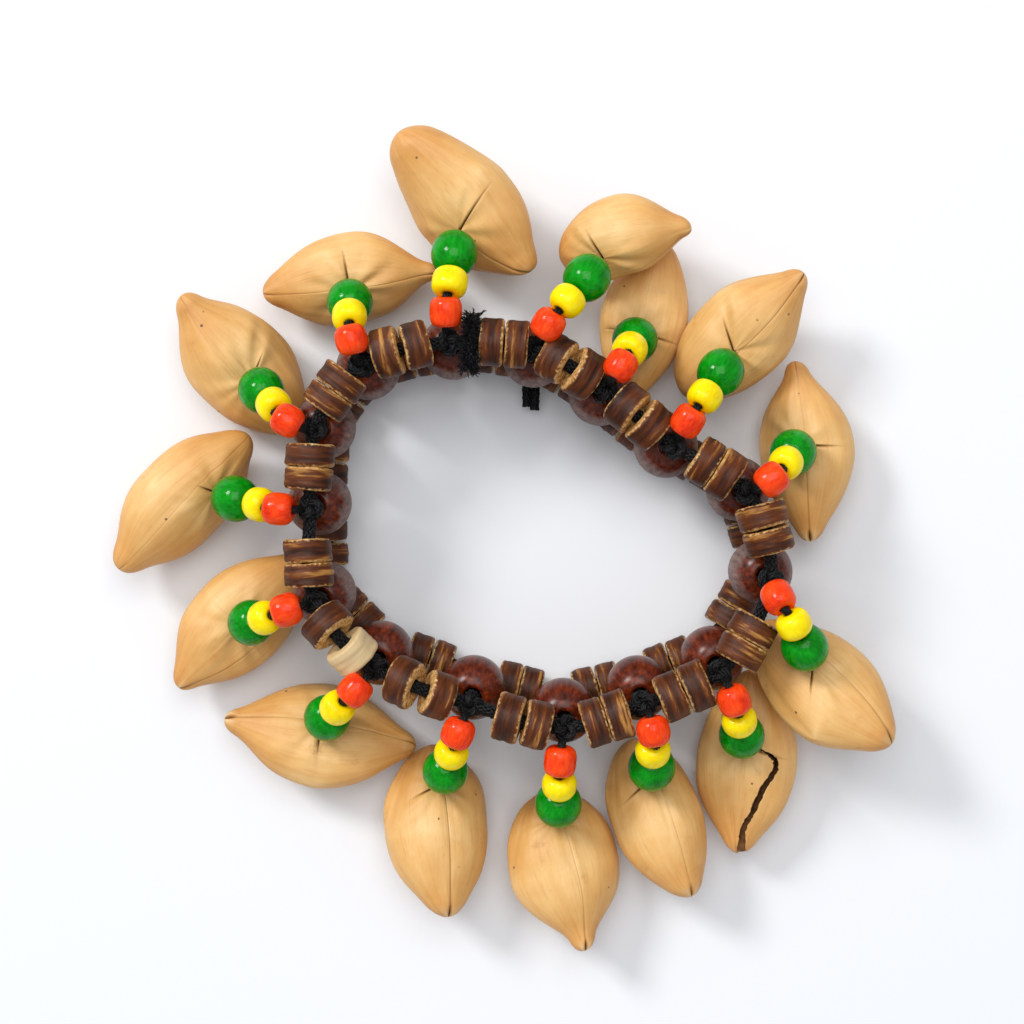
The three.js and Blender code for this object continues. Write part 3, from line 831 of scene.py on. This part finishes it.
# The crack's course from the hole: across, along and its width. Its floor rises towards the tip.
cracked_pod = 9
crack_course = [
    (-2.6, 0.2, 0.25), (-4.1, 0.9, 0.5), (-5.4, 2.0, 0.8), (-5.5, 3.4, 0.9), (-4.8, 5.0, 0.85),
    (-3.7, 6.9, 1.05), (-2.9, 9.1, 1.0), (-2.1, 11.2, 0.9), (-1.2, 12.9, 0.9), (-0.7, 14.4, 1.0),
    (-0.6, 16.5, 1.3), (-0.6, 20.5, 1.8),
]
crack_floor_from, crack_floors, crack_top = (9.0, 15.0), (-1.8, 0.7), 16.0
crack_rag = 0.11
# turn and tip: heading and tilt of the long axis. hole: its place along it. size: shares of a middling
# pod. ends and pinch: how full and how drawn in the near end and the far tip are. fold: reach and slant
# on the left, then on the right. seam: its turn from the top, and how plain it is at the near end and
# at the far tip. split: how open the tips are. hook: how far they bend to the right. tips: their roundness.
pods = [
    dict(turn=130, tip=8, hole=-0.0938, size=(1.07, 1.11, 0.973), ends=(2.4, 1.4), pinch=(1.5, 0.1),
         fold=(0, 0, 0.95, 0.32), seam=(0, 1, 0.1), split=(0.5, 0), hook=(3.2, 0), tips=(3, 3.4)),
    dict(turn=187, tip=0, hole=0, size=(1, 0.911, 0.935), ends=(2, 2.1), pinch=(1.5, 0.9),
         fold=(0.2, 0, 0.9, 0.05), seam=(4, 0.6, 0.45), split=(0.2, 0.2), hook=(0, 0), tips=(1.6, 2.3)),
    dict(turn=132, tip=14, hole=-0.1, size=(1, 0.97, 0.97), ends=(2.4, 1.9), pinch=(0, 1.3),
         fold=(0.15, 0, 0.55, 0.45), seam=(-12, 0.5, 0.2), split=(0, 0.1), hook=(0, 0.6), tips=(2.2, 2.2)),
    dict(turn=227, tip=0, hole=-0.16, size=(1.06, 0.967, 1.01), ends=(2.2, 2.2), pinch=(0.9, 1.8),
         fold=(0.2, 0.1, 0.45, 0.3), seam=(26, 0.3, 0.3), split=(0, 0.1), hook=(0, 0.8), tips=(2.6, 2.9)),
    dict(turn=225, tip=0, hole=0, size=(1.03, 0.967, 0.85), ends=(2, 2.2), pinch=(0.8, 1.1),
         fold=(0.4, 0.2, 0.2, 0), seam=(-34, 0.4, 0.8), split=(0.2, 0.6), hook=(0, -0.4), tips=(2, 2)),
    dict(turn=172, tip=0, hole=0, size=(1.1, 1.05, 0.863), ends=(1.8, 1.8), pinch=(0.8, 1),
         fold=(0.55, -0.1, 0.15, 0), seam=(6, 0.5, 0.7), split=(0.3, 1), hook=(0, 0), tips=(2, 1.9)),
    dict(turn=275, tip=12, hole=-0.25, size=(0.98, 1.03, 1), ends=(2.6, 1.9), pinch=(0, 0.6),
         fold=(0, 0, 0.6, 0.42), seam=(-5, 0.2, 1), split=(0, 0.7), hook=(0, -0.4), tips=(2.2, 2.6)),
    dict(turn=285, tip=9, hole=-0.31, size=(0.93, 1.085, 0.94), ends=(3, 1.8), pinch=(0, 1.9),
         fold=(0, 0, 0.25, 0.3), seam=(-6, 0.2, 0.5), split=(0, 0.9), hook=(0, 0.6), tips=(2.2, 2)),
    dict(turn=289, tip=12, hole=-0.22, size=(0.95, 0.89, 0.97), ends=(2.6, 2), pinch=(0, 0.45),
         fold=(0.2, 0.2, 0.75, 0.42), seam=(-10, 0.2, 0.4), split=(0, 0.7), hook=(0, -0.8),
         tips=(2.2, 2.2)),
    dict(turn=266, tip=0, hole=-0.09, size=(1.05, 0.97, 0.775), ends=(2, 2.2), pinch=(0.2, 0.8),
         fold=(0.9, 0.25, 0.2, 0), seam=(10, 0.3, 0.2), split=(0, 0.2), hook=(0, 0), tips=(2, 2.2)),
    dict(turn=318, tip=14, hole=-0.1, size=(1, 1.01, 0.92), ends=(2, 2), pinch=(0.25, 0.5),
         fold=(0.2, 0, 0.5, 0.75), seam=(-16, 0.2, 0.85), split=(0, 0.6), hook=(0, 0), tips=(2.2, 2.4)),
    dict(turn=94, tip=0, hole=0.0323, size=(1.03, 0.922, 0.869), ends=(2, 2), pinch=(1, 1.5),
         fold=(0.2, 0, 0.95, -0.1), seam=(8, 0.8, 0.3), split=(1, 0.1), hook=(0, -0.5), tips=(2, 1.9)),
    dict(turn=44, tip=14, hole=-0.09, size=(0.967, 0.925, 0.94), ends=(2.4, 1.9), pinch=(0, 1.1),
         fold=(0.7, 0.5, 0.2, 0), seam=(6, 0.2, 0.85), split=(0, 0.4), hook=(0, -0.5), tips=(2.2, 2)),
    dict(turn=78, tip=-5, hole=-0.111, size=(0.933, 0.85, 0.7), ends=(1.9, 1.9), pinch=(0.1, 0.1),
         fold=(0.9, 0, 1, -0.05), seam=(0, 0.3, 0.2), split=(0, 0.2), hook=(0, 0), tips=(2, 2)),
    dict(turn=14, tip=12, hole=-0.17, size=(0.76, 0.8, 0.9), ends=(2.6, 1.8), pinch=(0, 1.3),
         fold=(0.75, -0.25, 0.1, 0), seam=(40, 1, 1.4), split=(0, 0.5), hook=(0, 0.7), tips=(2.2, 1.6)),
]

seed_shell, tree, shader = new_finish("seed_shell", 0.5)
grain_place = attribute(tree, "grain_place")
crack = attribute(tree, "crack", "Fac")
shift = times(attribute(tree, "pod_tone", "Fac"), 80.0)
split = add_node(tree, "ShaderNodeSeparateXYZ", {0: grain_place})
toward_tip = calc("ABSOLUTE", split.outputs["Y"])
drawn_out = vector_calc("MULTIPLY", grain_place, (9.0, 1.2, 9.0))
streaks = noise_field(drawn_out, 2.4, 7.0, 0.68, shift)
drawn_wide = vector_calc("MULTIPLY", grain_place, (2.6, 0.8, 2.6))
bands = noise_field(drawn_wide, 1.6, 4.0, 0.6, shift)
cloud = noise_field(object_place(tree), 120.0, 5.0, 0.62, shift)
warm = plus(times(toward_tip, 0.30), times(cloud, 0.55))
warm = plus(warm, times(bands, 0.40))
skin = ramp(warm, (
    (0.36, paint(238, 196, 132)), (0.54, paint(226, 176, 106)), (0.72, paint(214, 156, 84)),
    (0.90, paint(194, 128, 60)),
))
fine = ramp(streaks, (
    (0.28, paint(150, 100, 58)), (0.45, paint(246, 238, 228)), (0.70, paint(255, 255, 255)),
))
skin = blend(0.3, skin, fine, "MULTIPLY")
blotch = between(noise_field(object_place(tree), 210.0, 6.0, 0.7, shift), 0.58, 0.76)
skin = blend(times(blotch, 0.5), skin, paint(150, 98, 54))
speck = add_node(tree, "ShaderNodeTexVoronoi", {"Vector": object_place(tree), "Scale": 260.0}, feature="F1")
speck_size = between(speck.outputs["Distance"], 0.085, 0.05)
rare = between(noise_field(object_place(tree), 170.0, 1.0), 0.51, 0.58)
skin = blend(times(times(speck_size, rare), 0.85), skin, paint(66, 38, 20))
# Painted highlight on the raised split lips, partly their own paler edge: they are coloured pale.
skin = blend(times(attribute(tree, "lip", "Fac"), 0.7), skin, paint(240, 212, 160))
# Painted shade: dark brown in the folds, seams, split tips and holes; on the seam partly its own darker line.
skin = blend(crack, skin, paint(46, 26, 13))
feed(shader.inputs["Base Color"], skin)
height = plus(plus(streaks, bands), times(blotch, -0.6))
bumped(shader, height, 0.3, 0.14)

broken_shell, tree, shader = new_finish("broken_shell", 0.8)
fibre = noise_field(object_place(tree), 900.0, 5.0, 0.65)
broken = ramp(fibre, ((0.3, paint(104, 62, 30)), (0.7, paint(184, 128, 72))))
feed(shader.inputs["Base Color"], broken)
bumped(shader, fibre, 0.5, 0.15)


def close_lines(count, start, end, places, spacing):
    """Grid lines from start to end, evenly spaced, with more of them close to some places."""
    lines = list(np.linspace(start, end, count))
    for place in places:
        for step in (0.4, 1.0, 1.8, 3.0, 4.6, 7.0):
            lines += [place - step * spacing, place + step * spacing]
        lines.append(place)
    return np.array(sorted({round(line, 5) for line in lines if start <= line <= end}))


def lumps(x, y, z):
    """Smooth noise at points that three grids give."""
    spots = np.stack([x, y, z], -1).reshape(-1, 3)
    return np.array([noise.noise(Vector(spot)) for spot in spots]).reshape(x.shape)


def hump(distance, width):
    """A smooth hump, 1 at no distance, that falls away over a width."""
    return np.exp(-(distance / width) ** 2)


def seed_pod(name, number, pod, basis, centre, drill):
    """A pod's shell. About its own centre the long axis is Y, the width X and the drilled side +Z."""
    length, width, depth = middling_pod * pod["size"]
    half = length / 2
    hole_at = 2 * pod["hole"]
    seam_at = math.pi / 2 - math.radians(pod["seam"][0])
    tips = np.cos(np.linspace(math.pi, 0, 96))
    rows = np.array(sorted({*np.round(tips[1:-1], 5), *close_lines(2, -0.96, 0.96, [hole_at], 0.007)}))
    top = math.pi / 2
    columns = close_lines(132, -math.pi / 2, 3 * math.pi / 2, sorted({seam_at, top}), 0.011)[:-1]
    t, angle = np.meshgrid(rows, columns, indexing="ij")
    near = t < 0
    reach = np.abs(t)
    ends = np.where(near, *pod["ends"])
    pinch = np.where(near, *pod["pinch"])
    fullness = (1 - reach ** ends) ** (1 + pinch * reach ** 2)
    blunt = np.where(near, *pod["tips"])
    left = (1 - reach) * half
    nose = np.where(left < blunt, np.sqrt(np.maximum(0, left * (2 * blunt - left))), blunt)
    round_x = np.sign(np.cos(angle)) * np.abs(np.cos(angle)) ** (2 / pod_square)
    round_z = np.sign(np.sin(angle)) * np.abs(np.sin(angle)) ** (2 / pod_square)
    x = ((width / 2 - blunt) * fullness + nose) * round_x
    z = ((depth / 2 - blunt) * fullness + nose) * round_z
    y = t * half
    swell = lumps(x * 0.16 + number * 7.3, y * 0.11, z * 0.16)
    ridge = lumps(np.cos(angle) * 5 + number, t * 0.9, np.sin(angle) * 5)
    grow = 1 + (0.055 * swell + 0.014 * ridge - 0.022) * (1 - reach ** 8)
    x, z = x * grow, z * grow
    # Round the hole the shell is drawn in, and low creases run out from it.
    from_hole = np.hypot(x, (t - hole_at) * half)
    bearing = np.arctan2((t - hole_at) * half, x)
    crease = lumps(np.cos(bearing) * 2.6, np.sin(bearing) * 2.6 + number, from_hole * 0.05)
    drawn = 0.5 * hump(from_hole, 3.6) + 0.55 * crease * hump(from_hole - 5.0, 4.5)
    z = z - drawn * np.clip(round_z * 2, 0, 1)
    # The fold and the seam are grooves with a low lip on each side; the fold's line slants towards one end.
    on_face = np.clip(round_z * 3, 0, 1)
    from_fold = (t - hole_at) * half
    side_reach = np.where(x < 0, pod["fold"][0], pod["fold"][2]) * width / 2
    fold_left = np.clip(1.3 - 1.3 * np.abs(x) / np.maximum(side_reach, 0.01), 0, 1)
    fold_fade = fold_left ** 2 * (3 - 2 * fold_left) * on_face
    fold = hump(from_fold, fold_width) * fold_fade
    fold_lip = hump(np.abs(from_fold) - 0.75, 0.45) * fold_fade
    around = np.abs(angle - seam_at) * np.maximum(1.5, width / 2 * fullness)
    seam_from, seam_to = pod["seam"][1:]
    along = np.where(t < hole_at, (hole_at - t) / (1 + hole_at), (t - hole_at) / (1 - hole_at))
    plain = np.where(t < hole_at, seam_from, seam_to) * (0.45 + 0.55 * along)
    seam = hump(around, seam_width) * plain
    seam_lip = hump(around - 0.55, 0.35) * plain
    open_tip = np.where(near, *pod["split"]) * np.clip((reach - 0.86) / 0.12, 0, 1)
    gape = hump(around, 0.12 + 0.22 * open_tip) * open_tip
    lip = hump(around - 0.75, 0.45) * open_tip
    hole_far = np.hypot(x - drill[0], y - drill[1])
    drilled = 1 / (1 + np.exp((hole_far - hole_diameter / 2) / 0.06)) * on_face
    sink = fold_depth * fold + seam_depth * seam + split_depth * gape
    sink = sink - 0.04 * fold_lip - 0.05 * seam_lip - 0.15 * lip
    size = np.maximum(0.6, np.hypot(x, z))
    shrink = np.maximum(0.25, 1 - sink / size)
    x, z = x * shrink, z * shrink - hole_sink * drilled
    slant = np.where(x < 0, pod["fold"][1], pod["fold"][3])
    y = y + slant * np.abs(x) * hump(from_fold, fold_run * half) * on_face
    x = x + np.where(near, *pod["hook"]) * reach ** 3
    z = z + pod_bow * t ** 2
    # Painted shade in the fold, seam, split tips and hole; at the seam partly its own darker line.
    groove_shade = np.clip(0.9 * fold ** 0.8 + 0.45 * seam + gape + 0.4 * drilled, 0, 1)
    grid = np.stack([x, y, z], -1).reshape(-1, 3)
    grains = np.stack([np.cos(angle), t, np.sin(angle)], -1).reshape(-1, 3)
    across, count = len(rows), len(columns)
    ends_xyz = [[pod["hook"][0], -half, pod_bow], [pod["hook"][1], half, pod_bow]]
    points = np.vstack([grid, ends_xyz])
    grains = np.vstack([grains, [[0, -1, 0], [0, 1, 0]]])
    groove_shade = np.concatenate([groove_shade.ravel(), pod["split"]])
    # Pale split lips: partly their own paler edge, partly a painted highlight.
    lips = np.concatenate([lip.ravel(), [0.0, 0.0]])
    faces = grid_faces(across, count, False)
    last = (across - 1) * count
    for k in range(count):
        step = (k + 1) % count
        faces.append((k, step, len(grid)))
        faces.append((last + step, last + k, len(grid) + 1))
    placed = (points @ basis.T + centre) * millimetre
    placed[:, 2] = np.maximum(placed[:, 2], table_gap * millimetre)
    mesh = new_mesh(name, placed, faces=faces)
    mesh.shade_smooth()
    mark(mesh, "crack", groove_shade)
    mark(mesh, "lip", lips)
    mark(mesh, "pod_tone", np.full(len(points), (number * 0.29) % 1.0))
    mark(mesh, "grain_place", grains)
    mesh.materials.append(seed_shell)
    return put(name, mesh)


def crack_open(piece, pod, basis, centre):
    """Cuts a ragged crack into a pod, from beside the hole to the far tip."""
    piece.data.materials.append(broken_shell)
    hole_y = pod["hole"] * pod["size"][0] * middling_pod[0]
    jitter = np.random.default_rng(3)
    count = len(crack_course)
    steps = np.linspace(0, count - 1, 5 * count)
    course = np.column_stack([np.interp(steps, range(count), column) for column in zip(*crack_course)])
    points, faces = [], []
    for k, (x, y, wide) in enumerate(course):
        before, after = course[max(0, k - 1)], course[min(len(course) - 1, k + 1)]
        way = unit(np.array([after[0] - before[0], after[1] - before[1]]))
        side = np.array([-way[1], way[0]])
        for sign in (-1, 1):
            out = sign * (wide / 2 + jitter.uniform(-crack_rag, crack_rag))
            edge = np.array([x, y + hole_y]) + side * out
            for high in (np.interp(y, crack_floor_from, crack_floors), crack_top):
                points.append((*edge, high))
    for k in range(len(course) - 1):
        a, b = 4 * k, 4 * (k + 1)
        faces += [(a, b, b + 1, a + 1), (a + 2, a + 3, b + 3, b + 2)]
        faces += [(a, a + 2, b + 2, b), (a + 1, b + 1, b + 3, a + 3)]
    end = 4 * (len(course) - 1)
    faces += [(0, 1, 3, 2), (end, end + 2, end + 3, end + 1)]
    mesh = new_mesh("crack_cutter", (np.array(points) @ basis.T + centre) * millimetre, faces=faces)
    ready = bmesh.new()
    ready.from_mesh(mesh)
    bmesh.ops.recalc_face_normals(ready, faces=ready.faces)
    ready.to_mesh(mesh)
    ready.free()
    mesh.materials.append(broken_shell)
    cutter = put("crack_cutter", mesh)
    cut = piece.modifiers.new("crack", "BOOLEAN")
    cut.operation = "DIFFERENCE"
    cut.object = cutter
    cut.solver = "EXACT"
    cut.material_mode = "TRANSFER"
    result = applied(piece)
    piece.modifiers.clear()
    piece.data = result
    bpy.data.objects.remove(cutter)


for rung, pod in enumerate(pods):
    last_way, green, leave, dive = strand_spots[rung]
    length, width, depth = middling_pod * pod["size"]
    long = direction(pod["turn"], pod["tip"])
    face = unit(long * np.dot(last_way, long) - last_way)
    lean = -np.dot(face, last_way)
    hole = green + last_way * (green_diameter / 2 + pod_gap) / lean
    along = 2 * pod["hole"]
    tip_share = 2 * pod_tip_radius / width
    full = tip_share + (1 - tip_share) * (1 - abs(along) ** pod["ends"][0 if along < 0 else 1])
    centre = hole - face * (depth / 2 * full + pod_bow * along ** 2) - long * pod["hole"] * length
    basis = np.column_stack([np.cross(long, face), long, face])
    entry = leave + dive * np.dot(hole - leave, face) / np.dot(dive, face)
    shell = seed_pod(f"pod_shell_{rung + 1:02d}", rung, pod, basis, centre, basis.T @ (entry - centre))
    if rung == cracked_pod:
        crack_open(shell, pod, basis, centre)
    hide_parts(f"seed_pod_{rung + 1:02d}")
    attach(shell, f"pod_{rung + 1:02d}")
